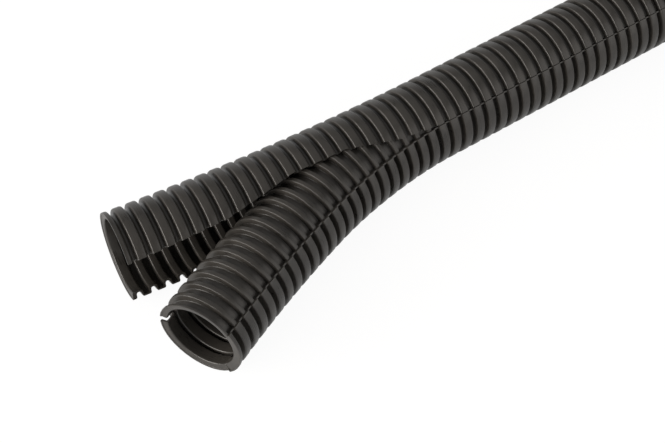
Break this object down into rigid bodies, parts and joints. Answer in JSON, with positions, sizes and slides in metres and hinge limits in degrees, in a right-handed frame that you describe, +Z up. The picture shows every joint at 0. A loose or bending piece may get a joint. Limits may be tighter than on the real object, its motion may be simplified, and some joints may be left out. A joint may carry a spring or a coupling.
{
  "type": "divisible corrugated conduit",
  "caption": "Corrugated cable conduit in two nested halves: an open outer tube over a slit inner tube, peeled apart at one end.",
  "frame": {"origin": "on the conduit's axis at the plane of the far, nested end", "axes": "+X along the axis, out of the nested end; the forked end points to -X; +Z up, the conduit lies on its side"},
  "size_m": [1.0012, 0.1257, 0.0544],
  "materials": {
    "outer_plastic": "satin black polypropylene, moulded",
    "inner_plastic": "satin black polypropylene, moulded"
  },
  "bodies": {
    "root": {"outer_tube": "outer_plastic", "inner_tube": "inner_plastic"}
  },
  "joints": []
}
